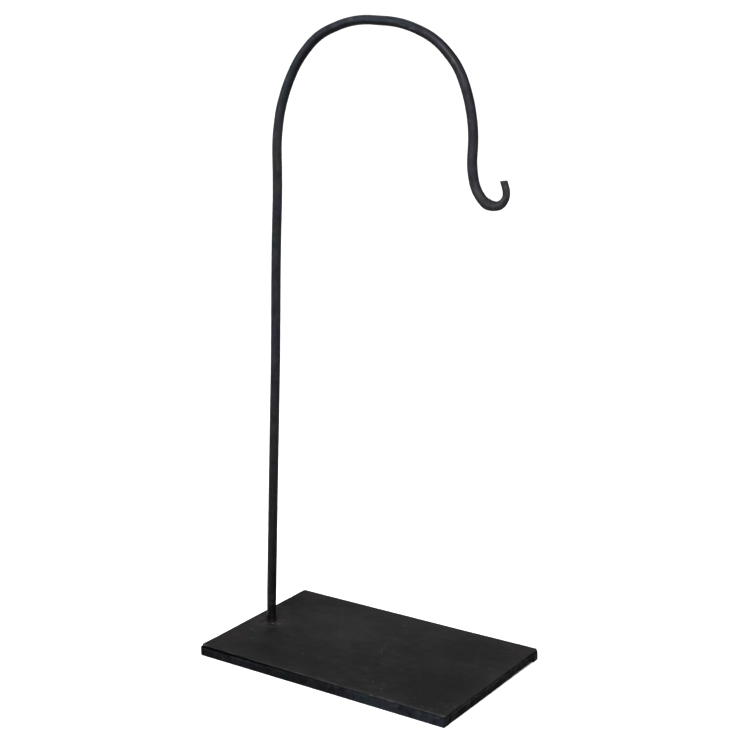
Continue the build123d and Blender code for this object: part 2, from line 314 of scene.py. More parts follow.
# ------------------------------------------------------------------ square bars
def build_bar(name, p0, p1, side, seed, radii=(0.7, 0.6, 0.6, 0.8), caps=(0.8, 0.8), low_end=None, step=2.0):
    """a square bar from p0 to p1 in plan along its outer face; side is the inward normal's sign

    radii: outer bottom, inner bottom, inner top and outer top edge. caps: how round each
    end is (0: cut square). low_end: (from, to, height) of a ground-away outer bottom edge."""
    p0, p1 = np.array(p0, float), np.array(p1, float)
    L = np.linalg.norm(p1 - p0)
    d = (p1 - p0) / L
    nrm = np.array([-d[1], d[0]]) * side
    k, flat = 5, 5
    arcs = []
    for (cx_, cz_), a0, r in (((0, 0), math.pi, radii[0]), ((1, 0), 1.5 * math.pi, radii[1]), ((1, 1), 0.0, radii[2]), ((0, 1), 0.5 * math.pi, radii[3])):
        c = (BAR - r if cx_ else r, BAR - r if cz_ else r)
        arcs.append([(c[0] + r * math.cos(a0 + 0.5 * math.pi * j / k), c[1] + r * math.sin(a0 + 0.5 * math.pi * j / k)) for j in range(k + 1)])
    loop, is_edge = [], []
    for q, arc in enumerate(arcs):
        loop += arc
        is_edge += [1.0] * len(arc)
        (x, z), (x2, z2) = arc[-1], arcs[(q + 1) % 4][0]
        for j in range(1, flat):
            t = j / flat
            loop.append((x + (x2 - x) * t, z + (z2 - z) * t))
            is_edge.append(0.0)
    loop_xy, is_edge = np.array(loop), np.array(is_edge)
    m_ = len(loop)
    thetas = [math.radians(a) for a in (90, 70, 50, 30, 12, 0)]
    st = []
    lead = max(caps[0], 0.05) + 0.4
    tail = max(caps[1], 0.05) + 0.4
    st += [(caps[0] * (1 - math.sin(t)), caps[0] * (1 - math.cos(t))) for t in thetas] if caps[0] else [(0.0, 0.0)]
    n = int((L - lead - tail) / step)
    st += [(lead + (L - lead - tail) * j / n, 0.0) for j in range(n + 1)]
    st += [(L - caps[1] * (1 - math.sin(t)), caps[1] * (1 - math.cos(t))) for t in reversed(thetas)] if caps[1] else [(L, 0.0)]
    V, W = [], []
    for s, ins in st:
        c = (loop_xy - BAR / 2) * (1 - ins / (BAR / 2))
        q = c + BAR / 2
        p3 = np.c_[np.full(m_, s), q[:, 0], q[:, 1]]
        # rolled and hammered surface, a little inside the nominal square
        out = c / np.maximum(np.linalg.norm(c, axis=1), 1e-6)[:, None]
        amp = -0.070 + 0.04 * fbm(p3, 18, seed, 2) + 0.025 * noise(p3, 3.5, seed + 7)
        nick = -0.16 * is_edge * np.clip(noise(p3, 2.6, seed + 13) - 0.15, 0, 1) - 0.10 * is_edge * (0.5 + 0.5 * noise(p3 * [1, 0.2, 0.2], 17, seed + 4))
        q = q + out * (amp + nick)[:, None]
        depth, z = q[:, 0].copy(), np.clip(q[:, 1], 0.0, BAR)
        if low_end is not None:
            s0, s1, h = low_end
            t = smooth(s0, s1, np.array([s]))[0]
            low = np.clip(1 - z / 4.0, 0, 1) * np.clip(1 - depth / 5.0, 0, 1)
            z, depth = z + h * t * low, depth + 0.6 * h * t * low
        V.append(np.c_[p0 + d * s + nrm * depth[:, None], z])
        end = 1.0 if (s < 0.8 * caps[0] or s > L - 0.8 * caps[1]) else 0.0
        W.append(np.clip(is_edge * 0.9 + end * 0.6, 0, 1))
    faces = []
    for a in range(len(V) - 1):
        for j in range(m_):
            j2 = (j + 1) % m_
            faces.append((a * m_ + j, a * m_ + j2, (a + 1) * m_ + j2, (a + 1) * m_ + j))
    c0, c1 = V[0].mean(0), V[-1].mean(0)
    verts = np.vstack(V + [c0[None], c1[None]])
    wear = np.concatenate(W + [np.zeros(2)])
    i0, i1 = len(verts) - 2, len(verts) - 1
    for j in range(m_):
        j2 = (j + 1) % m_
        faces.append((i0, j2, j))
        b = (len(V) - 1) * m_
        faces.append((i1, b + j, b + j2))
    return make_mesh(name, verts, faces, sharp=60, attrs={"wear": wear})


# ------------------------------------------------------------------ the gooseneck
ROUTE = [
    (-137.15, 7.00), (-132.63, 174.83), (-128.00, 329.75), (-126.19, 449.14), (-123.44, 521.95),
    (-124.37, 571.54), (-119.20, 604.45), (-110.00, 630.75), (-95.58, 657.68), (-70.07, 684.90),
    (-24.69, 702.36), (34.48, 700.66), (74.32, 685.75), (100.85, 659.79), (113.72, 629.49),
    (120.14, 596.00), (118.52, 560.57), (123.29, 538.53), (135.51, 524.04), (152.79, 523.99),
    (160.52, 535.97), (154.90, 551.20),
]
BENDS = [
    3000.0, 3000.0, 2900.0, 805.0, 175.0, 141.0, 165.0, 107.0, 74.8, 111.0,
    117.0, 80.8, 75.7, 141.5, 132.0, 79.5, 35.0, 17.2, 12.0, 13.0,
]


def centreline(step):
    """points along the straight runs and tangent arcs, evenly spaced"""
    V = np.array(ROUTE)
    out, prev = [], V[0]
    for i in range(1, len(V) - 1):
        a, b = V[i - 1] - V[i], V[i + 1] - V[i]
        a, b = a / np.linalg.norm(a), b / np.linalg.norm(b)
        turn = math.pi - math.acos(max(-1, min(1, float(a @ b))))
        t = BENDS[i - 1] * math.tan(turn / 2)
        q0, q1 = V[i] + a * t, V[i] + b * t
        n = max(2, int(np.linalg.norm(q0 - prev) / 0.5))
        out += [prev + (q0 - prev) * k / n for k in range(n)]
        bis = (a + b) / np.linalg.norm(a + b)
        C = V[i] + bis * (BENDS[i - 1] / math.cos(turn / 2))
        a0, a1 = math.atan2(*(q0 - C)[::-1]), math.atan2(*(q1 - C)[::-1])
        da = (a1 - a0 + math.pi) % (2 * math.pi) - math.pi
        n = max(3, int(abs(da) * BENDS[i - 1] / 0.5))
        out += [C + BENDS[i - 1] * np.array([math.cos(a0 + da * k / n), math.sin(a0 + da * k / n)]) for k in range(n)]
        prev = q1
    n = max(2, int(np.linalg.norm(V[-1] - prev) / 0.5))
    out += [prev + (V[-1] - prev) * k / n for k in range(n + 1)]
    P = np.array(out)
    s = np.r_[0, np.cumsum(np.linalg.norm(np.diff(P, axis=0), axis=1))]
    keep = np.r_[True, np.diff(s) > 1e-6]
    P, s = P[keep], s[keep]
    g = np.linspace(0, s[-1], int(s[-1] / step) + 1)
    P = np.c_[np.interp(g, s, P[:, 0]), np.interp(g, s, P[:, 1])]
    # soften the change from run to arc, as a bent bar does
    for _ in range(6):
        Q = P.copy()
        Q[1:-1] = 0.25 * P[:-2] + 0.5 * P[1:-1] + 0.25 * P[2:]
        P = Q
    return P, g


# along the hook: distance before the tip's end, thickness seen from the side, width across
HOOK = [
    (60.0, 10.4, 10.4), (54.0, 10.4, 10.4), (48.5, 10.7, 10.5), (44.5, 11.5, 10.7), (41.5, 11.7, 10.8), (37.0, 10.9, 10.6),
    (31.5, 9.7, 10.1), (26.5, 8.9, 9.3), (21.5, 7.9, 8.5), (16.0, 7.45, 8.1), (9.0, 7.35, 7.9), (0.0, 7.2, 7.7),
]
TIP = (155.2, 549.6)
TIP_SLOPE = 6.7
WIDTH = [(0, 10.05), (20, 10.15), (42, 10.75), (200, 10.62), (330, 10.52), (480, 10.44), (560, 10.42), (660, 10.32), (735, 9.83), (815, 9.86), (860, 10.26), (1000, 10.42), (1100, 10.45)]


def build_rod():
    step = 1.1
    P, s = centreline(step)
    T = np.gradient(P, axis=0)
    T /= np.linalg.norm(T, axis=1)[:, None]
    cut_n = np.array([-math.sin(math.radians(TIP_SLOPE)), math.cos(math.radians(TIP_SLOPE))])
    # the centreline ends on the cut
    d = (P - np.array(TIP)) @ cut_n
    tail = s > s[-1] - 20
    end = np.where(tail & (d > 0))[0]
    stop = end[0] if len(end) else len(P) - 1
    P, T, s = P[:stop + 1].copy(), T[:stop + 1], s[:stop + 1]
    a = P[stop - 1]
    k = ((np.array(TIP) - a) @ cut_n) / ((P[stop] - a) @ cut_n)
    P[stop] = a + (P[stop] - a) * k
    L = s[-1]
    seg = 40
    ang = np.linspace(0, 2 * math.pi, seg, endpoint=False)
    V, wear, hookw, barco = [], [], [], []
    for i in range(len(P)):
        before = L - s[i]
        if before < 60:
            hb, ht, hw = [np.array(c) for c in zip(*reversed(HOOK))]
            th, wd = np.interp(before, hb, ht), np.interp(before, hb, hw)
        else:
            th = wd = np.interp(s[i], *zip(*WIDTH))
        n2 = np.array([-T[i][1], T[i][0]])
        nx = np.cos(ang) * th / 2
        ny = np.sin(ang) * wd / 2
        # ring plane turns to the cut over the last few millimetres
        q = P[i][None, :] + nx[:, None] * n2[None, :]
        if before < 9:
            w = 1 - smooth(0, 9, np.array([before]))[0]
            dn = (q - P[i]) @ cut_n
            slide = -dn / max(0.3, float(T[i] @ cut_n))
            q = q + (slide * w)[:, None] * T[i][None, :]
        pos = np.c_[q[:, 0], FOOT[1] + ny, q[:, 1]]
        par = np.c_[np.cos(ang) * 5, np.sin(ang) * 5, np.full(seg, s[i])]
        amp = 0.055 * fbm(par * [1, 1, 0.45], 9, 71, 3) + 0.035 * noise(par * [1, 1, 0.9], 3.2, 72)
        # hammer facets on the drawn-out hook
        f = float(smooth(70, 48, np.array([before]))[0])
        if f > 0:
            facet = 0.0
            for fs, fa, fw, fd in HAMMER:
                da = (ang - fa + math.pi) % (2 * math.pi) - math.pi
                g = np.exp(-((before - fs) / fw) ** 2) * np.exp(-(da / 0.62) ** 2)
                facet = facet - fd * g
            amp = amp + f * (0.7 * facet + 0.11 * noise(par * [1.2, 1.2, 1.0], 4.0, 77))
        out = np.c_[np.cos(ang)[:, None] * n2[None, :], np.sin(ang)]
        out = np.c_[out[:, 0], out[:, 2], out[:, 1]]
        # the bend sags a little
        sag = 0.5 * float(smooth(54, 38, np.array([before]))[0] * smooth(5, 17, np.array([before]))[0])
        V.append(pos + out * amp[:, None] - np.array([0, 0, sag]))
        wear.append(np.full(seg, 0.0))
        hookw.append(np.full(seg, f))
        barco.append(np.c_[np.cos(ang) * 5, np.sin(ang) * 5, np.full(seg, s[i])] * MM)
    n = len(V)
    faces = []
    for a_ in range(n - 1):
        for j in range(seg):
            j2 = (j + 1) % seg
            faces.append((a_ * seg + j, a_ * seg + j2, (a_ + 1) * seg + j2, (a_ + 1) * seg + j))
    # ends: a filed edge, then the flat
    def cap(ring, normal, up_):
        c = ring.mean(0)
        r1 = c + (ring - c) * 0.93 + normal * 0.22
        r2 = c + (ring - c) * 0.84 + normal * 0.30
        r3 = c + (ring - c) * 0.45 + normal * 0.30
        return [r1, r2, r3], c + normal * 0.30

    tip_normal = np.array([cut_n[0], 0, cut_n[1]])
    foot_normal = np.array([-T[0][0], 0, -T[0][1]])
    verts = list(V)
    for ring0, nor, start in ((V[-1], tip_normal, (n - 1) * seg), (V[0], foot_normal, 0)):
        rings, mid = cap(ring0 - nor * 0.30, nor, True)
        prev = start
        for r_ in rings:
            base = sum(len(v) for v in verts)
            verts.append(r_)
            for j in range(seg):
                j2 = (j + 1) % seg
                faces.append((prev + j, prev + j2, base + j2, base + j))
            prev = base
        base = sum(len(v) for v in verts)
        verts.append(mid[None, :])
        for j in range(seg):
            faces.append((prev + j, prev + (j + 1) % seg, base))
    A = np.vstack(verts)
    w = np.zeros(len(A))
    w[: n * seg] = np.concatenate(wear)
    h = np.zeros(len(A))
    h[: n * seg] = np.concatenate(hookw)
    h[n * seg: n * seg + 3 * seg] = 1
    w[(n - 1) * seg: n * seg] = 0.8
    w[n * seg: n * seg + seg] = 0.9
    co = np.zeros((len(A), 3))
    co[:n * seg] = np.vstack(barco)
    co[n * seg:] = A[n * seg:] * MM
    return make_mesh("gooseneck_bar", A, faces, sharp=50, attrs={"wear": w, "hook": h, "barco": co})


# hammer blows on the hook: distance before the tip, angle round the bar (0 is the
# inside of the bend), length and depth in mm
HAMMER = [
    (38.0, 3.3, 3.0, 0.55), (33.0, 2.6, 2.8, 0.50), (44.0, 3.9, 3.2, 0.45), (34.5, 4.5, 2.6, 0.50),
    (28.5, 4.9, 2.6, 0.42), (22.0, 4.3, 3.2, 0.30), (30.0, 0.2, 2.2, 0.30), (40.0, 5.1, 3.0, 0.40),
    (12.0, 4.7, 5.0, 0.28), (50.0, 4.4, 4.5, 0.28), (26.5, 3.4, 2.6, 0.32), (41.5, 4.3, 2.2, 0.30),
    (31.0, 3.8, 2.2, 0.35), (47.5, 5.3, 3.0, 0.26), (17.0, 5.2, 3.0, 0.24), (36.0, 0.9, 3.0, 0.26),
]


# ------------------------------------------------------------------ welds
def build_ring_weld(name, z0, sign, leg, seed, lean=0.027):
    """a bead round the bar's foot; sign is +1 on top of the sheet and -1 under it"""
    na, npf = 120, 11
    V = []
    A = np.linspace(0, 2 * math.pi, na, endpoint=False)
    for k in range(npf):
        t = k / (npf - 1)
        # hollow fillet from the bar down to the sheet
        r = 4.85 + (leg + 0.15) * t ** 1.25
        h = leg * (1 - t) ** 1.6
        q = np.c_[np.cos(A) * 4, np.sin(A) * 4, np.full(na, t * 3)]
        ripple = 0.16 * np.sin(A * 13 + 2.0 * noise(q, 3, seed)) * math.sin(math.pi * min(1, t + 0.15))
        full = 1.0 if sign < 0 else 0.42 + 0.50 * np.exp(-((np.angle(np.exp(1j * (A - math.radians(200))))) / 0.9) ** 2)
        size = full * (1 + 0.24 * noise(q * [1, 1, 0.0], 4.5, seed + 2) + 0.10 * noise(q, 1.3, seed + 3))
        rr = 4.85 + (r - 4.85) * size + ripple * 0.6
        hh = h * size + ripple * 0.5 * (1 - t)
        if k == npf - 1:
            hh = np.full(na, -0.15)
        cx = FOOT[0] + lean * (z0 + sign * hh - (BAR + SHEET_T))
        x, y = cx + np.cos(A) * rr, FOOT[1] + np.sin(A) * rr
        zz = z0 + sign * hh
        if sign > 0:
            zz = np.maximum(zz, BAR + SHEET_T - 0.1) + (sheet_top(x, y) - BAR - SHEET_T) * t
        V.append(np.c_[x, y, zz])
    faces = []
    for a in range(npf - 1):
        for j in range(na):
            j2 = (j + 1) % na
            faces.append((a * na + j, a * na + j2, (a + 1) * na + j2, (a + 1) * na + j))
    # inside wall, against the bar, and the foot
    inner_low = np.c_[FOOT[0] + np.cos(A) * 4.7, FOOT[1] + np.sin(A) * 4.7, np.full(na, z0 - sign * 0.15)]
    b = npf * na
    V.append(inner_low)
    for j in range(na):
        j2 = (j + 1) % na
        faces.append(((npf - 1) * na + j, (npf - 1) * na + j2, b + j2, b + j))
        faces.append((b + j, b + j2, j2, j))
    verts = np.vstack(V)
    return make_mesh(name, verts, faces, sharp=70, attrs={"wear": np.zeros(len(verts))})


def bead(p0, p1, up_dir, side_dir, leg, seed, n=26, m_=9):
    """a short fillet bead from p0 to p1 with rippled, rounded ends"""
    p0, p1 = np.array(p0, float), np.array(p1, float)
    up_dir, side_dir = np.array(up_dir, float), np.array(side_dir, float)
    L = np.linalg.norm(p1 - p0)
    V, F = [], []
    for i in range(n + 1):
        t = i / n
        e = math.sqrt(max(0.0, 1 - (2 * t - 1) ** 6))
        g = leg * (0.30 + 0.70 * e) * (1 + 0.10 * math.sin(t * L * 2.4 + seed) + 0.06 * math.sin(t * L * 5.1 + 2 * seed))
        # the legs bite a little into both pieces
        c = p0 + (p1 - p0) * t - 0.2 * (up_dir + side_dir)
        ring = [c - 0.05 * (up_dir + side_dir)]
        for k in range(m_):
            a = math.pi / 2 * k / (m_ - 1)
            rr = g * (1 - 0.20 * math.sin(2 * a))
            ring.append(c + side_dir * rr * math.cos(a) + up_dir * rr * math.sin(a))
        V.append(np.array(ring))
    w = m_ + 1
    for i in range(n):
        for k in range(w):
            k2 = (k + 1) % w
            F.append((i * w + k, i * w + k2, (i + 1) * w + k2, (i + 1) * w + k))
    verts = np.vstack(V)
    F.append(tuple(range(w)))
    F.append(tuple(n * w + k for k in reversed(range(w))))
    return verts, F


def build_beads(name, beads):
    V, F, base = [], [], 0
    for v, f in beads:
        V.append(v)
        F += [tuple(q + base for q in g) for g in f]
        base += len(v)
    verts = np.vstack(V)
    return make_mesh(name, verts, F, sharp=50, attrs={"wear": np.zeros(len(verts))})


# ------------------------------------------------------------------ materials
class Nodes:
    """a few words for building a node tree"""

    def __init__(self, mat):
        mat.use_nodes = True
        self.t = mat.node_tree
        self.t.nodes.clear()
        self.n, self.l = self.t.nodes, self.t.links

    def put(self, sock, v):
        if isinstance(v, bpy.types.NodeSocket):
            self.l.new(v, sock)
        else:
            sock.default_value = v

    def math(self, op, a, b=None, c=None, clamp=False):
        n = self.n.new("ShaderNodeMath")
        n.operation, n.use_clamp = op, clamp
        self.put(n.inputs[0], a)
        if b is not None:
            self.put(n.inputs[1], b)
        if c is not None:
            self.put(n.inputs[2], c)
        return n.outputs[0]

    def ramp(self, v, a, b, lo=0.0, hi=1.0, kind="SMOOTHSTEP"):
        n = self.n.new("ShaderNodeMapRange")
        n.interpolation_type = kind
        self.put(n.inputs["Value"], v)
        for key, x in (("From Min", a), ("From Max", b), ("To Min", lo), ("To Max", hi)):
            self.put(n.inputs[key], x)
        return n.outputs["Result"]

    def coords(self):
        return self.n.new("ShaderNodeTexCoord").outputs["Object"]

    def mapping(self, v, scale=(1, 1, 1), rot=(0, 0, 0), loc=(0, 0, 0)):
        n = self.n.new("ShaderNodeMapping")
        self.put(n.inputs["Vector"], v)
        n.inputs["Scale"].default_value = scale
        n.inputs["Rotation"].default_value = rot
        n.inputs["Location"].default_value = loc
        return n.outputs[0]

    def noise(self, v, scale, detail=3.0, rough=0.55, distort=0.0, seed=0.0):
        n = self.n.new("ShaderNodeTexNoise")
        n.noise_dimensions = "4D"
        self.put(n.inputs["Vector"], v)
        n.inputs["W"].default_value = seed
        n.inputs["Scale"].default_value = scale
        n.inputs["Detail"].default_value = detail
        n.inputs["Roughness"].default_value = rough
        n.inputs["Distortion"].default_value = distort
        return n.outputs["Fac"]

    def voronoi(self, v, scale, out="Distance", rand=1.0):
        n = self.n.new("ShaderNodeTexVoronoi")
        self.put(n.inputs["Vector"], v)
        n.inputs["Scale"].default_value = scale
        n.inputs["Randomness"].default_value = rand
        return n.outputs[out]

    def xyz(self, v):
        n = self.n.new("ShaderNodeSeparateXYZ")
        self.put(n.inputs[0], v)
        return n.outputs[0], n.outputs[1], n.outputs[2]

    def mix(self, f, a, b, mode="MIX"):
        n = self.n.new("ShaderNodeMix")
        n.data_type, n.blend_type = "RGBA", mode
        n.clamp_factor = True
        self.put(n.inputs[0], f)
        self.put(n.inputs[6], a)
        self.put(n.inputs[7], b)
        return n.outputs[2]

    def attr(self, name, out="Fac"):
        n = self.n.new("ShaderNodeAttribute")
        n.attribute_name = name
        return n.outputs[out]

    def blob(self, v, at, radii, soft=0.5):
        """1 inside an ellipsoid at `at` (mm), fading to 0 outside"""
        m_ = self.mapping(v, scale=tuple(1000.0 / r for r in radii), loc=tuple(-a / r for a, r in zip(at, radii)))
        n = self.n.new("ShaderNodeVectorMath")
        n.operation = "LENGTH"
        self.put(n.inputs[0], m_)
        return self.ramp(n.outputs["Value"], 1 - soft, 1 + soft, 1.0, 0.0)

    def stroke(self, v, a, b, width):
        """1 on the straight scratch from a to b (mm, in plan), of that width (mm)"""
        ax, ay = a
        bx, by = b
        L = math.hypot(bx - ax, by - ay)
        ang = math.atan2(by - ay, bx - ax)
        mx, my = (ax + bx) / 2, (ay + by) / 2
        n = self.n.new("ShaderNodeMapping")
        n.vector_type = "TEXTURE"
        self.put(n.inputs["Vector"], v)
        n.inputs["Location"].default_value = (mx * MM, my * MM, 0)
        n.inputs["Rotation"].default_value = (0, 0, ang)
        n.inputs["Scale"].default_value = (L / 2 * MM, width / 2 * MM, 1)
        x, y, _ = self.xyz(n.outputs[0])
        d = self.math("ADD", self.math("POWER", self.math("ABSOLUTE", x), 3.0), self.math("POWER", self.math("ABSOLUTE", y), 2.0))
        return self.ramp(d, 0.3, 1.3, 1.0, 0.0)

    def finish(self, base, rough, height, bump=0.3, dist=0.0002, spec=0.25, coat=0.0, gain=1.0):
        base = self.mix(1.0, base, (gain, gain, gain, 1.0), "MULTIPLY")
        b = self.n.new("ShaderNodeBsdfPrincipled")
        self.put(b.inputs["Base Color"], base)
        self.put(b.inputs["Roughness"], rough)
        b.inputs["Specular IOR Level"].default_value = spec
        b.inputs["Metallic"].default_value = 0.0
        b.inputs["Coat Weight"].default_value = coat
        n = self.n.new("ShaderNodeBump")
        n.inputs["Strength"].default_value = bump
        n.inputs["Distance"].default_value = dist
        self.put(n.inputs["Height"], height)
        self.l.new(n.outputs[0], b.inputs["Normal"])
        o = self.n.new("ShaderNodeOutputMaterial")
        self.l.new(b.outputs[0], o.inputs["Surface"])


def col(r, g, b):
    """a colour given as it looks, 0 to 255"""
    f = lambda c: c / 255 / 12.92 if c / 255 <= 0.04045 else ((c / 255 + 0.055) / 1.055) ** 2.4
    return (f(r), f(g), f(b), 1.0)


def rod_material():
    mat = bpy.data.materials.new("rod_blackened_steel")
    n = Nodes(mat)
    v = n.coords()
    x, y, z = n.xyz(v)
    nx, ny, nz = n.xyz(n.n.new("ShaderNodeTexCoord").outputs["Normal"])
    big = n.noise(v, 24, 3, 0.6, 0.4, 1.0)
    tint = n.noise(v, 17, 2, 0.5, 0.4, 15.0)
    mid = n.noise(v, 140, 3, 0.6, 0.2, 2.0)
    fine = n.noise(v, 900, 3, 0.6, 0.0, 3.0)
    c = n.mix(n.ramp(big, 0.36, 0.64), col(48, 50, 53), col(54, 54, 58))
    high = n.ramp(z, 0.55, 0.64)
    crown = n.math("MULTIPLY", high, n.ramp(x, 0.085, 0.030))
    c = n.mix(n.math("MULTIPLY", n.ramp(tint, 0.53, 0.62, 0, 0.75), n.ramp(n.math("MULTIPLY", high, n.ramp(x, 0.110, 0.060)), 0.0, 1.0, 1.0, 0.25)), c, col(50, 47, 62))
    c = n.mix(n.math("MULTIPLY", n.ramp(tint, 0.45, 0.36, 0, 0.75), n.ramp(x, 0.03, 0.09, 1.0, 0.15)), c, col(43, 54, 54))
    c = n.mix(n.math("MULTIPLY", crown, 0.42), c, n.mix(n.ramp(x, -0.095, -0.05), col(50, 61, 66), col(44, 57, 61)))
    band = n.noise(v, 62, 2, 0.5, 0.3, 23.0)
    c = n.mix(n.ramp(band, 0.54, 0.66, 0, 0.45), c, col(40, 40, 47))
    c = n.mix(n.math("MULTIPLY", n.ramp(n.noise(v, 40, 2, 0.5, 0.3, 9.0), 0.56, 0.70, 0, 0.5), n.ramp(x, -0.09, 0.06, 0.1, 1.0)), c, col(57, 49, 49))
    c = n.mix(n.ramp(mid, 0.44, 0.72, 0, 0.5), c, col(64, 65, 69))
    c = n.mix(n.math("MULTIPLY", n.blob(v, (114.5, -2, 552), (4.5, 7, 16), 0.6), 0.5), c, col(44, 57, 60))
    c = n.mix(n.math("MULTIPLY", n.blob(v, (90, -3, 668), (9, 8, 14), 0.6), n.ramp(mid, 0.40, 0.60, 0.1, 0.45)), c, col(64, 60, 54))
    # pale rubbed streaks and nicks; the rubbed places are glossier and painted pale as highlights
    w = n.attr("barco", "Vector")
    streak = n.noise(n.mapping(w, (1, 1, 0.09)), 430, 3, 0.6, 0.2, 16.0)
    c = n.mix(n.math("MULTIPLY", n.ramp(streak, 0.58, 0.72), n.ramp(n.noise(v, 32, 2, 0.5, 0.2, 18.0), 0.44, 0.62, 0.10, 0.65)), c, col(80, 82, 86))
    drag = n.noise(n.mapping(w, (1, 1, 0.30)), 240, 3, 0.55, 0.3, 19.0)
    c = n.mix(n.ramp(drag, 0.47, 0.34, 0, 0.62), c, col(37, 38, 41))
    c = n.mix(n.ramp(drag, 0.54, 0.68, 0, 0.45), c, col(66, 67, 71))
    gloss_and_painted_highlight = None
    for at, rad, k in GLOSS_AND_PAINTED_HIGHLIGHTS:
        rub = n.math("MULTIPLY", n.blob(v, at, rad, 0.5), n.ramp(streak, 0.34, 0.56, 0.25 * k, k))
        gloss_and_painted_highlight = rub if gloss_and_painted_highlight is None else n.math("MAXIMUM", gloss_and_painted_highlight, rub)
    # painted highlights: the rubbed places made paler
    c = n.mix(n.math("MULTIPLY", gloss_and_painted_highlight, 0.62), c, col(86, 87, 92))
    nick = n.math("MULTIPLY", n.ramp(n.voronoi(v, 210), 0.10, 0.17, 1, 0), n.ramp(n.xyz(n.voronoi(v, 210, "Color"))[1], 0.975, 0.985))
    c = n.mix(n.math("MULTIPLY", nick, 0.6), c, col(112, 112, 114))
    c = n.mix(n.ramp(fine, 0.25, 0.42, 0.40, 0), c, col(30, 30, 33))
    hook = n.attr("hook")
    dent = n.voronoi(n.mapping(v, (1, 1, 1), (0.3, 0.2, 0.5)), 235)
    c = n.mix(n.math("MULTIPLY", hook, n.ramp(mid, 0.45, 0.6, 0, 0.5)), c, col(65, 64, 66))
    # painted shade in the hammer dents
    c = n.mix(n.math("MULTIPLY", hook, n.ramp(dent, 0.36, 0.16, 0, 0.55)), c, col(42, 41, 43))
    c = n.mix(n.math("MULTIPLY", n.blob(v, (128, -3, 532), (6, 7, 8), 0.6), 0.22), c, col(68, 72, 66))
    c = n.mix(n.math("MULTIPLY", hook, 0.26), c, col(62, 65, 60))
    # painted highlight on the ridges between the dents
    c = n.mix(n.math("MULTIPLY", n.math("MULTIPLY", hook, n.ramp(dent, 0.56, 0.72, 0, 0.6)), n.ramp(mid, 0.44, 0.60)), c, col(74, 73, 75))
    # a scorched band and a pale scuff just above the foot
    ring = n.math("MULTIPLY", n.ramp(z, 0.0418, 0.0428), n.ramp(z, 0.0432, 0.0444, 1.0, 0.0))
    c = n.mix(n.math("MULTIPLY", ring, n.ramp(drag, 0.40, 0.60, 0.15, 0.5)), c, col(70, 70, 70))
    c = n.mix(n.ramp(z, 0.037, 0.025, 0, 0.45), c, col(36, 33, 42))
    flakes = n.math("MULTIPLY", n.math("MULTIPLY", n.ramp(z, 0.031, 0.037), n.ramp(z, 0.041, 0.045, 1.0, 0.0)), n.ramp(n.noise(v, 620, 3, 0.6, 0.4, 21.0), 0.52, 0.62))
    c = n.mix(n.math("MULTIPLY", flakes, 0.6), c, col(84, 82, 80))
    scuff = n.math("MULTIPLY", n.blob(v, (-140.8, -2.2, 21.5), (3.2, 3.2, 7.0), 0.5), n.ramp(n.noise(v, 300, 3, 0.6, 0.5, 22.0), 0.40, 0.62))
    c = n.mix(n.math("MULTIPLY", scuff, 0.75), c, col(92, 92, 90))
    # painted shade: darker on undersides and up-facing tops, on the lower and left post and on the arch's right
    # shoulder and arm; the hook is darkened less
    painted_light_level = n.math("MULTIPLY", n.ramp(nz, -0.52, 0.10, 0.18, 1.0), n.ramp(z, 0.02, 0.42, 0.72, 1.0))
    painted_light_level = n.math("MULTIPLY", painted_light_level, n.ramp(nz, 0.25, 0.85, 1.0, 0.60))
    painted_light_level = n.math("MAXIMUM", painted_light_level, n.math("MULTIPLY", hook, 0.66))
    painted_light_level = n.math("MULTIPLY", painted_light_level, n.math("MULTIPLY", n.ramp(x, -0.118, -0.04, n.ramp(z, 0.38, 0.64, 0.76, 0.98), 1.0), n.math("MULTIPLY", n.ramp(x, 0.02, 0.065, 1.0, 0.72), n.ramp(x, 0.095, 0.118, 1.0, 1.26))))
    c = n.mix(n.math("SUBTRACT", 1.0, painted_light_level, None, True), c, col(8, 8, 9))
    c = n.mix(1.0, c, (1.0, 0.925, 0.965, 1.0), "MULTIPLY")
    c = n.mix(n.ramp(z, 0.38, 0.10), c, (0.91, 0.90, 0.76, 1.0), "MULTIPLY")
    c = n.mix(n.math("MULTIPLY", n.ramp(z, 0.10, 0.15), n.ramp(z, 0.21, 0.17)), c, (0.90, 0.90, 0.90, 1.0), "MULTIPLY")
    c = n.mix(n.math("MULTIPLY", n.math("MULTIPLY", n.ramp(z, 0.40, 0.46), n.ramp(z, 0.60, 0.54)), n.ramp(x, -0.04, -0.09)), c, (1.0, 1.0, 0.91, 1.0), "MULTIPLY")
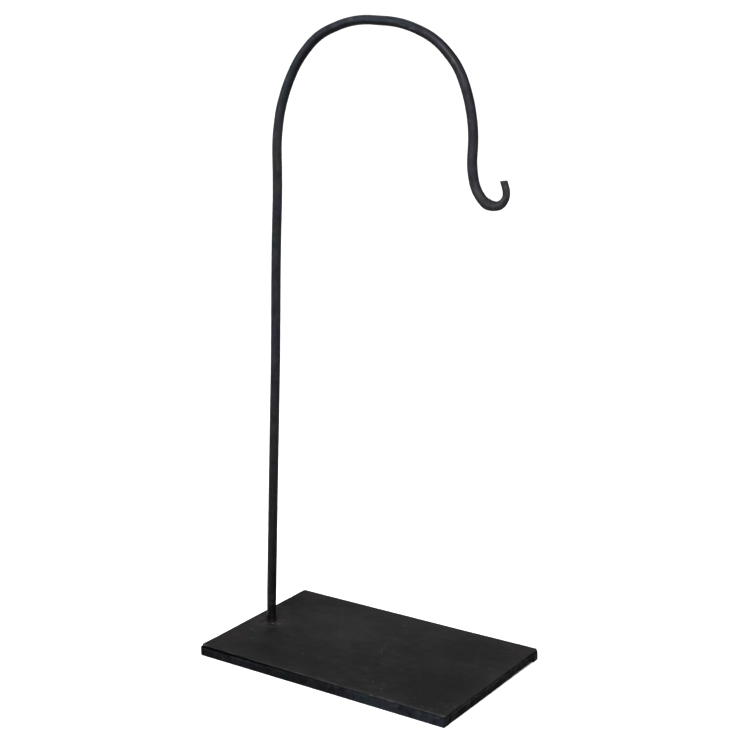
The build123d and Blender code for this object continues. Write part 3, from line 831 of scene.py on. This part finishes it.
    # the foot is lighter, with pale bands and a pale patch on its front-right side: partly wiped and ground when the
    # weld was dressed, partly painted light on the post's shaded right side and bottom
    c = n.mix(n.ramp(z, 0.036, 0.024), c, (1.15, 1.15, 1.16, 1.0), "MULTIPLY")
    c = n.mix(n.math("MULTIPLY", n.blob(v, (-132.2, -0.6, 32), (3.6, 3.8, 28), 0.35), n.ramp(drag, 0.36, 0.56, 0.65, 1.0)), c, (1.45, 1.45, 1.48, 1.0), "MULTIPLY")
    rings = n.math("MAXIMUM", n.math("MULTIPLY", n.ramp(z, 0.0328, 0.0345), n.ramp(z, 0.0372, 0.0358)), n.math("MULTIPLY", n.ramp(z, 0.0434, 0.0450), n.ramp(z, 0.0480, 0.0465, 0, 0.5)))
    c = n.mix(n.math("MAXIMUM", rings, n.ramp(z, 0.0162, 0.0146)), c, (1.70, 1.74, 1.66, 1.0), "MULTIPLY")
    wear = n.math("MULTIPLY", n.attr("wear"), n.ramp(mid, 0.35, 0.6))
    c = n.mix(n.math("MULTIPLY", wear, 0.5), c, col(92, 92, 94))
    r = n.ramp(n.math("ADD", n.math("MULTIPLY", mid, 0.6), n.math("MULTIPLY", fine, 0.4)), 0.3, 0.7, 0.34, 0.48)
    r = n.math("SUBTRACT", r, n.ramp(n.noise(n.mapping(w, (1, 1, 0.22)), 120, 3, 0.6, 0.3, 28.0), 0.50, 0.64, 0, 0.13))
    r = n.math("SUBTRACT", r, n.math("MULTIPLY", gloss_and_painted_highlight, 0.10))
    r = n.math("ADD", r, n.math("MULTIPLY", hook, 0.30), None, True)
    h = n.math("ADD", n.math("MULTIPLY", fine, 0.5), n.math("MULTIPLY", mid, 0.7))
    h = n.math("ADD", h, n.math("MULTIPLY", drag, 0.5))
    h = n.math("ADD", h, n.math("MULTIPLY", n.math("MULTIPLY", dent, hook), 2.6))
    n.finish(c, r, h, 0.42, 0.00022, SPEC_ROD, gain=0.93)
    return mat


# rubbed places on the bar, glossier and painted pale as highlights: where (mm), how large, how strong
GLOSS_AND_PAINTED_HIGHLIGHTS = [
    ((-86.6, -2.8, 670.5), (2.4, 1.8, 2.6), 0.6), ((-76, -2.6, 681.0), (5.0, 1.8, 1.3), 0.55), ((-60, -2.9, 690.5), (6.0, 1.8, 1.2), 0.45),
    ((-26, -3.0, 702.3), (3.6, 2.2, 1.2), 0.6), ((-13, -3.0, 703.2), (5, 2.0, 1.0), 0.25),
    ((47, -3.8, 694.3), (3.8, 2.2, 1.3), 0.95), ((35, -3.4, 697.6), (7, 2.0, 0.9), 0.45),
    ((96.5, -3.6, 664.6), (1.8, 2.2, 2.8), 0.7), ((103, -3.6, 651), (1.4, 2.0, 5), 0.35),
    ((118.4, -3.9, 606.8), (0.9, 1.8, 1.2), 0.9),
    ((-117.5, -3.5, 607), (1.2, 2, 4), 0.3),
    ((146.3, -3.6, 523.6), (2.0, 2.2, 0.8), 0.8), ((151.6, -3.4, 526.8), (1.5, 2.2, 1.0), 0.65), ((140.4, -3.5, 524.6), (1.6, 2.2, 0.8), 0.45),
]


def sheet_material():
    mat = bpy.data.materials.new("sheet_blackened_steel")
    n = Nodes(mat)
    v = n.coords()
    x, y, z = n.xyz(v)
    big = n.noise(v, 13, 2, 0.5, 0.5, 4.0)
    mid = n.noise(n.mapping(v, (0.9, 1.1, 1.0), (0, 0, 0.3)), 42, 3, 0.5, 0.8, 5.0)
    soft = n.noise(v, 95, 3, 0.55, 0.6, 6.0)
    fine = n.noise(v, 700, 3, 0.6, 0.0, 7.0)
    c = n.mix(n.ramp(big, 0.36, 0.64), col(43, 43, 43), col(48, 48, 48))
    c = n.mix(n.ramp(mid, 0.48, 0.66, 0, 0.60), c, col(55, 54, 54))
    c = n.mix(n.ramp(mid, 0.46, 0.32, 0, 0.62), c, col(37, 37, 37))
    drift = n.noise(n.mapping(v, (0.55, 1.25, 1.0), (0, 0, -0.5)), 62, 4, 0.62, 1.1, 24.0)
    c = n.mix(n.ramp(drift, 0.52, 0.68, 0, 0.45), c, col(58, 57, 57))
    c = n.mix(n.ramp(drift, 0.47, 0.35, 0, 0.50), c, col(38, 38, 38))
    c = n.mix(n.ramp(soft, 0.54, 0.68, 0, 0.42), c, col(57, 56, 56))
    # broad handling marks: paler where it was wiped, darker where wax lies thick
    wiped = n.math("MAXIMUM", n.blob(v, (-48, 38, 11), (66, 40, 30), 0.6), n.math("MULTIPLY", n.blob(v, (40, 52, 11), (90, 46, 30), 0.7), 0.75))
    wiped = n.math("MULTIPLY", wiped, n.ramp(mid, 0.3, 0.7, 0.5, 1.0))
    c = n.mix(n.math("MULTIPLY", wiped, 0.60), c, col(56, 56, 56))
    waxed = n.math("MAXIMUM", n.blob(v, (116, -42, 11), (50, 44, 30), 0.55), n.math("MULTIPLY", n.blob(v, (-138, 60, 11), (24, 22, 30), 0.6), 0.6))
    waxed = n.math("MAXIMUM", waxed, n.math("MULTIPLY", n.math("MAXIMUM", n.blob(v, (100, 58, 11), (42, 26, 30), 0.6), n.blob(v, (-60, -66, 11), (70, 18, 30), 0.6)), 0.75))
    waxed = n.math("MAXIMUM", waxed, n.math("MULTIPLY", n.math("MAXIMUM", n.blob(v, (60, 28, 11), (34, 30, 30), 0.6), n.blob(v, (-62, -40, 11), (62, 22, 30), 0.6)), 0.62))
    waxed = n.math("MAXIMUM", waxed, n.math("MULTIPLY", n.math("MAXIMUM", n.blob(v, (144, -74, 11), (30, 40, 30), 0.6), n.blob(v, (97, 42, 11), (24, 20, 30), 0.6)), 0.9))
    c = n.mix(n.math("MULTIPLY", waxed, 0.58), c, col(37, 37, 37))
    # paler towards the edges
    dx = n.math("SUBTRACT", 0.160, x)
    dyf = n.math("ADD", y, 0.1016)
    dyb = n.math("SUBTRACT", 0.1016, y)
    wob = n.math("MULTIPLY", n.math("SUBTRACT", mid, 0.5), 0.035)
    rim = n.ramp(n.math("ADD", n.math("MINIMUM", dx, dyb), wob), 0.0, 0.020, 0.5, 0)
    rim = n.math("MAXIMUM", rim, n.math("MULTIPLY", n.ramp(n.math("ADD", dyf, n.math("MULTIPLY", wob, 0.6)), 0.001, 0.009, 1.0, 0), n.ramp(n.noise(v, 62, 4, 0.65, 0.6, 17.0), 0.44, 0.58, 0.0, 1.0)))
    c = n.mix(n.math("MULTIPLY", rim, 0.42), c, col(62, 61, 62))
    worn = n.math("MAXIMUM", n.blob(v, (151, -79, 11), (11, 9, 20), 0.5), n.blob(v, (139, -91, 11), (14, 7, 20), 0.5))
    c = n.mix(n.math("MULTIPLY", n.math("MULTIPLY", worn, n.ramp(n.noise(v, 150, 3, 0.6, 0.6, 38.0), 0.50, 0.60)), 0.6), c, col(64, 63, 63))
    # brown tints of heat and old wax
    brown = n.blob(v, (-147, -62, 11), (14, 32, 20))
    for at, rad in (((-148, 85, 11), (16, 14, 20)), ((-126, 12, 11), (20, 16, 20)), ((150, 87, 11), (12, 12, 20)), ((-151, -22, 11), (10, 16, 20))):
        brown = n.math("MAXIMUM", brown, n.blob(v, at, rad))
    brown = n.math("MULTIPLY", brown, n.ramp(n.noise(v, 100, 3, 0.6, 0.5, 8.0), 0.38, 0.62, 0.1, 0.8))
    c = n.mix(brown, c, col(53, 46, 48))
    # small green-grey stain near the front left
    c = n.mix(n.math("MULTIPLY", n.blob(v, (-125.5, -52, 11), (4, 2.6, 10)), 0.42), c, col(47, 57, 55))
    # dark ring round the foot, a dark run beyond it and pale smears where the weld was ground
    ring = n.blob(v, (FOOT[0], FOOT[1], 11), (7.2, 7.2, 20), 0.25)
    run = n.blob(v, (-119, -23, 11), (6, 11, 20), 0.6)
    near = n.blob(v, (-136, 1, 11), (26, 26, 20), 0.45)
    ground = n.noise(n.mapping(v, (1, 1, 1), (0, 0, 0.6)), 250, 3, 0.62, 0.9, 11.0)
    c = n.mix(n.math("MULTIPLY", near, 0.40), c, col(61, 59, 58))
    patch = n.math("MULTIPLY", n.blob(v, (-134, -3, 11), (18, 15, 20), 0.4), n.ramp(ground, 0.48, 0.60))
    c = n.mix(n.math("MULTIPLY", patch, 0.46), c, col(74, 71, 68))
    c = n.mix(n.math("MULTIPLY", n.math("MULTIPLY", near, n.ramp(ground, 0.46, 0.36)), 0.6), c, col(33, 33, 33))
    c = n.mix(n.math("MAXIMUM", n.math("MULTIPLY", ring, 0.75), n.math("MULTIPLY", run, 0.40)), c, col(28, 28, 29))
    c = n.mix(n.blob(v, (-149, 29, 11), (12, 17, 20), 0.45), c, (1.40, 1.40, 1.39, 1.0), "MULTIPLY")
    c = n.mix(n.math("MULTIPLY", n.blob(v, (-144.0, -6.0, 11), (2.6, 3.4, 9), 0.5), 0.5), c, col(30, 30, 30))
    c = n.mix(n.math("MULTIPLY", n.blob(v, (-123.2, -3.2, 11), (3.0, 2.6, 9), 0.5), 0.55), c, col(84, 76, 74))
    glint = n.blob(v, (-129.6, -6.6, 12.5), (1.5, 1.1, 3), 0.5)
    c = n.mix(n.math("MULTIPLY", glint, 0.75), c, col(104, 102, 101))
    # scratches and specks
    marks = None
    for a, b, w in SCRATCHES:
        k = n.stroke(v, a, b, w)
        marks = k if marks is None else n.math("MAXIMUM", marks, k)
    hair = n.noise(n.mapping(v, (0.12, 6.0, 1.0), (0, 0, 0.9)), 260, 2, 0.5, 0.15, 12.0)
    hair2 = n.noise(n.mapping(v, (0.12, 6.0, 1.0), (0, 0, -0.25)), 240, 2, 0.5, 0.15, 13.0)
    hairs = n.math("MAXIMUM", n.ramp(hair, 0.74, 0.82, 0, 0.5), n.ramp(hair2, 0.74, 0.82, 0, 0.5))
    cell = n.voronoi(v, 120)
    cellc = n.voronoi(v, 120, "Color")
    speck = n.math("MULTIPLY", n.ramp(cell, 0.05, 0.09, 1, 0), n.ramp(n.xyz(cellc)[0], 0.93, 0.95))
    marks = n.math("MAXIMUM", marks, n.math("MULTIPLY", speck, 0.8))
    c = n.mix(n.math("MULTIPLY", hairs, 0.30), c, col(72, 71, 71))
    c = n.mix(n.math("MULTIPLY", marks, 0.48), c, col(90, 89, 88))
    # the cut side is dark, and the upper rim is rubbed pale in places
    side = n.attr("side")
    c = n.mix(n.math("MULTIPLY", side, 0.9), c, n.mix(n.ramp(n.math("ADD", x, n.math("MULTIPLY", n.math("SUBTRACT", soft, 0.5), 0.06)), -0.048, 0.030), col(8, 8, 9), n.mix(n.ramp(x, 0.1586, 0.1592), col(36, 37, 40), col(50, 50, 50))))
    rub = n.ramp(n.noise(v, 75, 3, 0.6, 0.3, 14.0), 0.36, 0.64)
    wear = n.math("MULTIPLY", n.attr("wear"), rub)
    c = n.mix(n.math("MULTIPLY", wear, 0.36), c, col(68, 68, 69))
    lip = n.math("MULTIPLY", n.ramp(n.math("ADD", dyf, n.math("MULTIPLY", wob, 0.12)), 0.0042, 0.0016), n.ramp(n.noise(v, 66, 4, 0.66, 0.4, 36.0), 0.46, 0.56))
    c = n.mix(n.math("MULTIPLY", n.math("MULTIPLY", lip, n.math("SUBTRACT", 1.0, side, None, True)), 0.45), c, col(76, 75, 78))
    # brighter at the two front corners
    tips = n.math("MAXIMUM", n.blob(v, (-158.5, -100.5, 11), (6, 5, 9)), n.math("MULTIPLY", n.blob(v, (158.5, -102, 11), (3.5, 3, 9)), 0.8))
    tips = n.math("MAXIMUM", tips, n.math("MULTIPLY", n.math("MAXIMUM", n.blob(v, (70, -101.6, 11), (2.6, 1.6, 9)), n.blob(v, (94, -101.6, 11), (4, 1.4, 9))), 0.8))
    c = n.mix(n.math("MULTIPLY", n.math("MULTIPLY", tips, n.math("ADD", n.attr("wear"), 0.3, None, True)), 0.6), c, col(92, 91, 91))
    r = n.ramp(n.math("ADD", n.math("MULTIPLY", mid, 0.5), n.math("MULTIPLY", soft, 0.5)), 0.30, 0.70, 0.54, 0.70)
    r = n.math("SUBTRACT", r, n.math("MULTIPLY", marks, 0.12))
    h = n.math("ADD", n.math("MULTIPLY", fine, 0.35), n.math("MULTIPLY", soft, 0.8))
    h = n.math("SUBTRACT", h, n.math("MULTIPLY", marks, 0.5))
    n.finish(c, r, h, 0.30, 0.0002, SPEC_SHEET, gain=0.775)
    return mat


# scratches on the sheet's upper face: from, to (mm in plan), width
SCRATCHES = [
    ((-145, -32.2), (-133.5, -33.4), 1.0), ((-141.7, 30), (-132.7, 35.4), 0.6), ((-116, -17), (-111.5, -18.6), 0.9), ((-125, -51), (-123, -53), 0.9), ((-61, 70), (-60, 68), 1.3),
    ((12, 14), (13, 12), 1.4), ((14, 6), (23, -10), 0.5), ((-54, -53), (-50, -58), 0.9),
    ((-30, -53), (-28, -55), 1.4), ((52, -70), (56, -76), 0.9), ((66, -71), (68, -73.6), 1.1), ((59, -55.6), (60, -57.4), 0.9),
    ((69, -80), (71, -84), 1.1), ((73, -86), (74, -88), 1.0), ((111, -80), (113, -82), 1.3),
    ((82, 82), (86, 80), 0.9), ((28, 32), (29, 30), 1.0), ((-3, 74), (4, 75), 0.8),
    ((138, 30), (141, 24), 0.6),
]


def bar_material(name, kind):
    mat = bpy.data.materials.new(name)
    n = Nodes(mat)
    v = n.coords()
    x, y, z = n.xyz(v)
    seed = {"front": 20.0, "right": 30.0, "other": 40.0}[kind]
    big = n.noise(v, 24, 3, 0.55, 0.5, seed)
    mid = n.noise(v, 130, 4, 0.62, 0.4, seed + 1)
    fine = n.noise(v, 800, 3, 0.6, 0.0, seed + 2)
    # the bars are coloured darker than the sheet's top: painted shade of the vertical faces
    c = n.mix(n.ramp(big, 0.36, 0.64), col(27, 28, 31), col(31, 29, 33))
    c = n.mix(n.ramp(mid, 0.48, 0.70, 0, 0.5), c, col(37, 38, 41))
    if kind == "front":
        # blue temper colours towards the right, cloudy and streaked
        blue = n.math("MULTIPLY", n.ramp(x, 0.01, 0.07), n.ramp(n.noise(v, 60, 3, 0.6, 0.6, 26.0), 0.30, 0.60, 0.45, 1.0))
        c = n.mix(n.math("MULTIPLY", blue, 0.9), c, col(45, 49, 54))
        c = n.mix(n.ramp(x, -0.03, -0.09), c, (0.86, 0.86, 0.86, 1.0), "MULTIPLY")
        streak = n.noise(n.mapping(v, (1.0, 1.0, 1.6), (0, 0.8, 0)), 75, 3, 0.6, 0.5, 27.0)
        c = n.mix(n.math("MULTIPLY", n.ramp(x, 0.03, 0.09), n.ramp(streak, 0.50, 0.66, 0, 0.6)), c, col(33, 32, 40))
        teal = n.math("MAXIMUM", n.blob(v, (60, -102, 6), (13, 12, 9)), n.math("MULTIPLY", n.blob(v, (-102, -101, 5), (12, 12, 9)), 0.8))
        c = n.mix(n.math("MULTIPLY", teal, 0.5), c, col(33, 40, 42))
        c = n.mix(n.math("MULTIPLY", n.blob(v, (-42, -101, 5), (8, 12, 14)), 0.7), c, col(24, 32, 31))
        c = n.mix(n.math("MULTIPLY", n.blob(v, (-28, -101, 5), (10, 12, 14)), 0.6), c, col(27, 27, 30))
        # soot in the joint under the sheet, along the left part
        joint = n.math("MULTIPLY", n.ramp(n.math("ADD", z, n.math("MULTIPLY", n.ramp(x, -0.10, -0.15), 0.0007)), 0.0098, 0.0104), n.ramp(n.math("ADD", x, n.math("MULTIPLY", n.math("SUBTRACT", mid, 0.5), 0.12)), -0.075, -0.022, 1.0, 0.12))
        # paler band below the joint on the left part: partly wear, partly painted highlight of the rounded upper edge
        edge_wear_and_painted_highlight = n.math("MULTIPLY", n.math("MULTIPLY", n.ramp(z, 0.0066, 0.0080), n.ramp(z, 0.0086, 0.0094, 1.0, 0.0)), n.ramp(n.noise(v, 150, 4, 0.68, 0.4, 25.0), 0.50, 0.60))
        c = n.mix(n.math("MULTIPLY", n.math("MULTIPLY", edge_wear_and_painted_highlight, n.ramp(x, 0.02, -0.05)), 0.5), c, col(54, 54, 57))
        # the sawn end gets the right side's darker colour: painted shade, as on that side
        c = n.mix(n.ramp(x, 0.1594, 0.1600), c, n.mix(n.ramp(mid, 0.40, 0.60), col(21, 21, 21), col(38, 37, 37)))
    if kind == "right":
        seam = n.ramp(y, -0.0902, -0.0896, 1.0, 0.0)
        c = n.mix(n.ramp(n.noise(v, 30, 2, 0.5, 0.3, 34.0), 0.35, 0.65), col(27, 27, 27), col(34, 33, 32))
        c = n.mix(n.ramp(mid, 0.50, 0.70, 0, 0.6), c, col(46, 45, 44))
        c = n.mix(n.math("MULTIPLY", n.blob(v, (160, -74, 4), (12, 14, 8)), n.ramp(mid, 0.35, 0.6, 0.5, 0.9)), c, col(45, 37, 38))
        dark = n.ramp(n.noise(v, 88, 3, 0.62, 0.3, 33.0), 0.47, 0.53, 0, 1.0)
        pale = n.ramp(n.noise(v, 105, 4, 0.64, 0.4, 37.0), 0.50, 0.56, 0, 0.8)
        c = n.mix(pale, c, col(60, 58, 56))
        c = n.mix(n.math("MULTIPLY", dark, n.ramp(z, 0.0098, 0.008)), c, col(8, 8, 8))
        c = n.mix(n.ramp(y, -0.055, 0.010), c, (0.45, 0.45, 0.45, 1.0), "MULTIPLY")
        # paler band at the top of the side, stronger towards the front: partly wear, partly painted highlight of the
        # rounded upper edge
        top = n.math("MULTIPLY", n.math("MULTIPLY", n.ramp(z, 0.0074, 0.0090), n.ramp(z, 0.0098, 0.0102, 1.0, 0.0)), n.ramp(y, 0.03, 0.0, 0.25, 1.0))
        c = n.mix(n.math("MULTIPLY", top, 0.60), c, col(52, 51, 50))
        c = n.mix(n.math("MULTIPLY", n.ramp(z, 0.0099, 0.0103), n.ramp(n.noise(v, 40, 2, 0.5, 0.3, 35.0), 0.36, 0.54, 0.35, 0.95)), c, col(6, 6, 6))
    c = n.mix(n.ramp(fine, 0.25, 0.42, 0.35, 0), c, col(24, 24, 26))
    blot = n.noise(v, 120, 4, 0.66, 0.7, seed + 9)
    deep = 0.95 if kind == "right" else 0.65
    c = n.mix(n.ramp(blot, 0.48, 0.38, 0, deep), c, col(12, 12, 13))
    c = n.mix(n.ramp(blot, 0.54, 0.66, 0, 0.5), c, col(56, 55, 58) if kind == "front" else col(56, 55, 54))
    # scale and bruises: small paler patches, more of them near the left end
    chip = n.ramp(n.noise(v, 280, 3, 0.7, 0.6, seed + 5), 0.60, 0.70)
    left = n.ramp(x, -0.05, -0.10, 0.45, 1.5)
    c = n.mix(n.math("MULTIPLY", n.math("MULTIPLY", chip, left), 0.6), c, col(74, 73, 75))
    ends = n.math("MAXIMUM", n.ramp(x, -0.1565, -0.1595), n.math("MULTIPLY", n.ramp(x, 0.1565, 0.1590), 0.35))
    wear = n.math("MULTIPLY", n.math("MULTIPLY", n.attr("wear"), n.ramp(n.noise(v, 190, 4, 0.65, 0.3, seed + 6), 0.46, 0.64)), n.math("ADD", n.math("MULTIPLY", ends, 0.8), 0.22))
    c = n.mix(n.math("MULTIPLY", wear, 0.8), c, col(92, 91, 92))
    if kind == "front":
        c = n.mix(n.math("MULTIPLY", joint, 0.97), c, col(4, 4, 5))
        c = n.mix(n.math("MULTIPLY", n.ramp(x, 0.1588, 0.1595), n.ramp(y, -0.0936, -0.0929)), c, col(2, 2, 2))
    if kind == "right":
        c = n.mix(seam, c, col(3, 3, 3))
    if kind == "other":
        # the back bar's end on the right side, darkened: painted shade, as on that side
        end = n.math("MULTIPLY", n.ramp(x, 0.1570, 0.1585), n.math("MAXIMUM", n.ramp(z, 0.0050, 0.0085), n.ramp(y, 0.0965, 0.0935)))
        c = n.mix(n.math("MULTIPLY", end, 0.85), c, col(17, 17, 17))
    r = n.ramp(mid, 0.30, 0.70, 0.52, 0.68)
    h = n.math("ADD", n.math("MULTIPLY", fine, 0.5), n.math("MULTIPLY", mid, 0.9))
    # painted shade: each side's gain darkens the right side most, the front less, the back and left least
    n.finish(c, r, h, 0.5, 0.00028, SPEC_BAR, gain={"front": 0.90, "right": 0.82, "other": 0.95}[kind])
    return mat


def weld_material():
    mat = bpy.data.materials.new("weld_blackened")
    n = Nodes(mat)
    v = n.coords()
    mid = n.noise(v, 260, 4, 0.6, 0.4, 50.0)
    fine = n.noise(v, 1300, 3, 0.6, 0.0, 51.0)
    c = n.mix(n.ramp(mid, 0.35, 0.65), col(30, 30, 33), col(50, 47, 48))
    c = n.mix(n.ramp(fine, 0.62, 0.75, 0, 0.6), c, col(84, 82, 82))
    r = n.ramp(mid, 0.3, 0.7, 0.42, 0.62)
    h = n.math("ADD", n.math("MULTIPLY", fine, 0.5), mid)
    n.finish(c, r, h, 0.6, 0.0003, SPEC_BAR)
    return mat


SPEC_ROD, SPEC_SHEET, SPEC_BAR = 0.11, 0.05, 0.06

# ------------------------------------------------------------------ pieces
m_rod, m_sheet, m_weld = rod_material(), sheet_material(), weld_material()
m_front = bar_material("front_bar_blackened", "front")
m_right = bar_material("right_bar_blackened", "right")
m_other = bar_material("bar_blackened", "other")

piece(build_sheet(), "top_sheet", m_sheet)
piece(build_bar("front_bar_square", (-161.35, y_front(-161.35)), (160.1, y_front(160.1)), 1, 101, radii=(0.5, 0.6, 0.6, 0.8), caps=(2.6, 0.6)), "front_bar", m_front)
piece(build_bar("back_bar_square", (159.6, y_back(159.6)), (-161.4, y_back(-161.4)), 1, 131, caps=(0.8, 0.8)), "back_bar", m_other)
x0, x1 = -160.1, -160.6
piece(build_bar("left_bar_square", (x1, y_back(x1) - BAR), (x0, y_front(x0) + BAR), 1, 151, caps=(0.5, 0.5)), "left_bar", m_other)
x0, x1 = 159.9, 159.4
piece(build_bar("right_bar_square", (x0, y_front(x0) + BAR + 0.09), (x1, y_back(x1) - BAR - 0.02), 1, 171, radii=(0.6, 0.6, 0.6, 1.2), caps=(0.6, 0.0), low_end=(40, 184, 1.25)), "right_bar", m_right)
piece(build_rod(), "gooseneck_rod", m_rod)
piece(build_ring_weld("foot_weld_bead", BAR + SHEET_T, 1, 1.45, 201), "foot_weld", m_weld)
piece(build_ring_weld("under_weld_bead", BAR, -1, 2.5, 211), "under_weld", m_weld)

corner = []
for k, (px, py, sx, sy_) in enumerate((
    (-149.1, y_front(-149.1) + BAR, 1, 1), (148.9, y_front(148.9) + BAR, -1, 1),
    (-149.6, y_back(-149.6) - BAR, 1, -1), (148.4, y_back(148.4) - BAR, -1, -1),
)):
    corner.append(bead((px, py, 1.4), (px, py, 9.6), (0, sy_, 0), (sx, 0, 0), 4.0, k + 1))
piece(build_beads("corner_weld_beads", corner), "corner_welds", m_weld)

tack = []
for k, x in enumerate((-95.0, 5.0, 105.0)):
    tack.append(bead((x - 7, y_front(x) + BAR, BAR), (x + 7, y_front(x) + BAR, BAR), (0, 0, -1), (0, 1, 0), 3.0, k + 5))
    tack.append(bead((x - 7, y_back(x) - BAR, BAR), (x + 7, y_back(x) - BAR, BAR), (0, 0, -1), (0, -1, 0), 3.0, k + 9))
for k, t in enumerate((0.3, 0.7)):
    ya = y_front(-149) + BAR + (y_back(-149) - y_front(-149) - 2 * BAR) * t
    yb = y_front(149) + BAR + (y_back(149) - y_front(149) - 2 * BAR) * t
    xa, xb = -149.1 - 0.5 * t, 148.9 - 0.5 * t
    tack.append(bead((xa, ya - 7, BAR), (xa, ya + 7, BAR), (0, 0, -1), (1, 0, 0), 3.0, k + 13))
    tack.append(bead((xb, yb - 7, BAR), (xb, yb + 7, BAR), (0, 0, -1), (-1, 0, 0), 3.0, k + 15))
piece(build_beads("sheet_tack_beads", tack), "sheet_tacks", m_weld)

# ------------------------------------------------------------------ floor and light
fm = bpy.data.materials.new("pale_floor")
fn = Nodes(fm)
fb = fn.n.new("ShaderNodeBsdfDiffuse")
fb.inputs["Color"].default_value = (0.82, 0.82, 0.82, 1)
fo_ = fn.n.new("ShaderNodeOutputMaterial")
fn.l.new(fb.outputs[0], fo_.inputs["Surface"])
bpy.ops.mesh.primitive_plane_add(size=120, location=(0, 0, -0.0002))
floor = bpy.context.object
floor.name = "studio_floor"
floor.data.materials.append(fm)

world = bpy.data.worlds.new("studio")
bpy.context.scene.world = world
world.use_nodes = True
bg = world.node_tree.nodes["Background"]
bg.inputs["Color"].default_value = (0.96, 0.98, 1.0, 1)
bg.inputs["Strength"].default_value = 0.20


def area(name, at, look, size, power, colour=(1, 1, 1)):
    d = bpy.data.lights.new(name, "AREA")
    d.shape, d.size, d.size_y = "RECTANGLE", size[0], size[1]
    d.energy, d.color = power, colour
    o = bpy.data.objects.new(name, d)
    bpy.context.scene.collection.objects.link(o)
    o.location = at
    o.rotation_euler = (Vector(look) - Vector(at)).to_track_quat("-Z", "Y").to_euler()
    o.visible_camera = False
    return o


sun = bpy.data.lights.new("sky_panel", "SUN")
sun.energy = 2.2
sun.angle = math.radians(72)
sun_o = bpy.data.objects.new("sky_panel", sun)
bpy.context.scene.collection.objects.link(sun_o)
sun_o.rotation_euler = (Vector((0, 0, 0)) - Vector((0.20, -0.58, 0.80))).to_track_quat("-Z", "Y").to_euler()
fill = bpy.data.lights.new("back_fill", "SUN")
fill.energy = 0.9
fill.angle = math.radians(60)
fill_o = bpy.data.objects.new("back_fill", fill)
bpy.context.scene.collection.objects.link(fill_o)
fill_o.rotation_euler = (Vector((0, 0, 0)) - Vector((-0.42, 0.50, 0.76))).to_track_quat("-Z", "Y").to_euler()
area("softbox", (0.30, -1.17, 1.42), (0.02, 0.0, 0.62), (0.5, 0.5), 21.0, (0.96, 0.98, 1.0))

bpy.context.scene.view_settings.view_transform = "Standard"
bpy.context.scene.view_settings.look = "High Contrast"
bpy.context.scene.view_settings.exposure = 0.0
